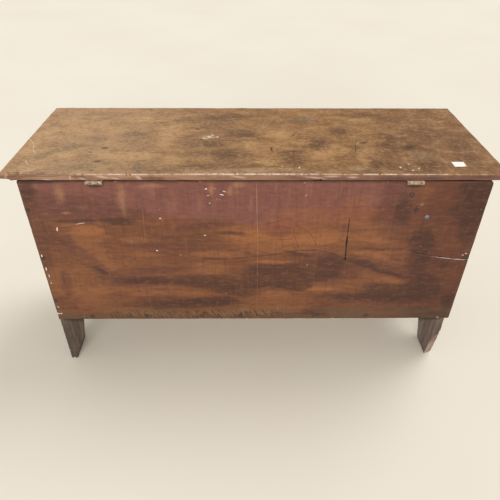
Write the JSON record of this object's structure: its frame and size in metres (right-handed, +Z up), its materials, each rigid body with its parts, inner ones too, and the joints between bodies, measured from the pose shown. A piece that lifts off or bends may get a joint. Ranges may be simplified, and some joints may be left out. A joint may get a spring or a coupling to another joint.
{
  "type": "boarded coffer chest",
  "caption": "Long nailed-plank coffer chest on arched end-board feet, with a flat hinged lid, a small lidded till inside and a simple iron lock.",
  "frame": {"origin": "on the floor under the middle of the whole chest with its lid", "axes": "+X to the right end seen from the front, +Y to the hinged back, +Z up"},
  "size_m": [1.203, 0.4515, 0.6532],
  "materials": {
    "lid_wood": "worn olive-brown planed wood, rubbed wax, dark grain bands",
    "panel_wood": "red-brown stained plank, dark blotches, scratches",
    "end_wood": "dark grey-brown raw plank, weathered foot",
    "inner_wood": "unfinished dry wood",
    "wrought_iron": "dark forged iron, light rust",
    "hinge_metal": "dull worn brass, grimed",
    "steel_screw": "dulled steel",
    "clout_steel": "blued steel head",
    "paper": "plain white paper"
  },
  "bodies": {
    "carcase": {"back_board": "panel_wood", "front_board": "panel_wood", "left_end_board": "end_wood", "right_end_board": "end_wood", "bottom_board": "inner_wood", "till_bottom": "inner_wood", "till_side": "inner_wood", "left_hinge_carcase_leaf": "hinge_metal", "left_hinge_pin": "hinge_metal", "right_hinge_carcase_leaf": "hinge_metal", "right_hinge_pin": "hinge_metal", "hinge_carcase_screws": "steel_screw", "back_bottom_nails": "wrought_iron", "back_end_nails": "wrought_iron", "front_bottom_nails": "wrought_iron", "front_end_nails": "wrought_iron", "end_bottom_nails": "wrought_iron", "till_nails": "wrought_iron", "till_clout_nail": "clout_steel", "lock_plate": "wrought_iron", "lock_bolt_guides": "wrought_iron", "lock_spring": "wrought_iron", "lock_key_post": "wrought_iron", "lock_plate_pins": "wrought_iron", "escutcheon": "wrought_iron", "escutcheon_pins": "wrought_iron"},
    "lid": {"lid": "lid_wood", "left_hinge_lid_leaf": "hinge_metal", "right_hinge_lid_leaf": "hinge_metal", "hinge_lid_screws": "steel_screw", "lid_staple": "wrought_iron", "lid_staple_pins": "wrought_iron", "paper_label": "paper"},
    "till_lid": {"till_lid": "inner_wood"},
    "lock_bolt": {"lock_bolt": "wrought_iron"}
  },
  "joints": [
    {"name": "lid_hinge", "type": "hinge", "parent": "carcase", "child": "lid", "pos_m": [0, 0.2205, 0.633], "axis": [-1, 0, 0], "range_deg": [0, 210]},
    {"name": "till_lid_hinge", "type": "hinge", "parent": "carcase", "child": "till_lid", "pos_m": [-0.537, 0.0065, 0.61], "axis": [0, -1, 0], "range_deg": [0, 70]},
    {"name": "lock_bolt_slide", "type": "slide", "parent": "carcase", "child": "lock_bolt", "axis": [1, 0, 0], "range_m": [0, 0.014]}
  ],
  "couplings": [
    {"joint": "till_lid_hinge", "follows": "lid_hinge", "ratio": 0.33333}
  ]
}
